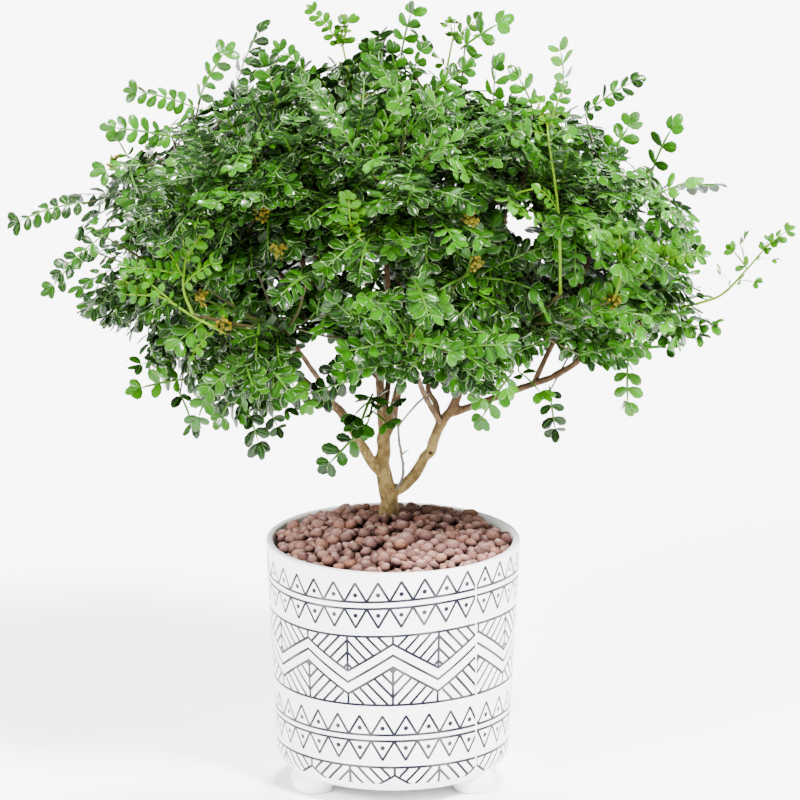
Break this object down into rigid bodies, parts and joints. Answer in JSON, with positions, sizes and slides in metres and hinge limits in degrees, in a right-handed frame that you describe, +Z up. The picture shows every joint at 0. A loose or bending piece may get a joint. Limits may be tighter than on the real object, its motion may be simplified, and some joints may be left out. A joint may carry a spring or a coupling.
{
  "type": "potted japanese pepper",
  "caption": "Small japanese pepper tree with a dense crown of pinnate leaves, in a white patterned ceramic pot on feet.",
  "frame": {"origin": "on the pot's axis, on the surface that the pot's feet stand on", "axes": "+Z up along the pot's axis, -Y towards the front of the plant, +X to the right as seen from the front"},
  "size_m": [0.3915, 0.32, 0.4034],
  "materials": {
    "ceramic": "satin",
    "soil": "matte",
    "pellets": "matte",
    "bark": "matte",
    "leaf": "satin",
    "young_leaf": "satin",
    "buds": "matte"
  },
  "bodies": {
    "root": {"pot": "ceramic", "soil": "soil", "clay_pellets": "pellets", "wood": "bark", "young_shoot_top": "young_leaf", "young_shoot_left_low": "young_leaf", "young_shoot_left_high": "young_leaf", "young_shoot_front_left": "young_leaf", "young_shoot_right_tall": "young_leaf", "young_shoot_right_buds": "young_leaf", "young_shoot_far_right": "young_leaf", "young_shoot_right": "young_leaf", "young_shoot_back": "young_leaf", "bud_cluster_top": "buds", "bud_cluster_front_left": "buds", "bud_cluster_left": "buds", "bud_cluster_front": "buds", "bud_cluster_front_right": "buds", "bud_cluster_right": "buds", "leaf_spray_low_left": "leaf", "leaf_spray_low_front_left": "leaf", "leaf_spray_low_front": "leaf", "leaf_spray_low_front_right": "leaf", "leaf_spray_low_right": "leaf", "leaf_spray_low_back_right": "leaf", "leaf_spray_low_back": "leaf", "leaf_spray_low_back_left": "leaf", "leaf_spray_high_left": "leaf", "leaf_spray_high_front_left": "leaf", "leaf_spray_high_front": "leaf", "leaf_spray_high_front_right": "leaf", "leaf_spray_high_right": "leaf", "leaf_spray_high_back_right": "leaf", "leaf_spray_high_back": "leaf", "leaf_spray_high_back_left": "leaf", "leaf_spray_top_left": "leaf", "leaf_spray_top_right": "leaf"}
  },
  "joints": []
}
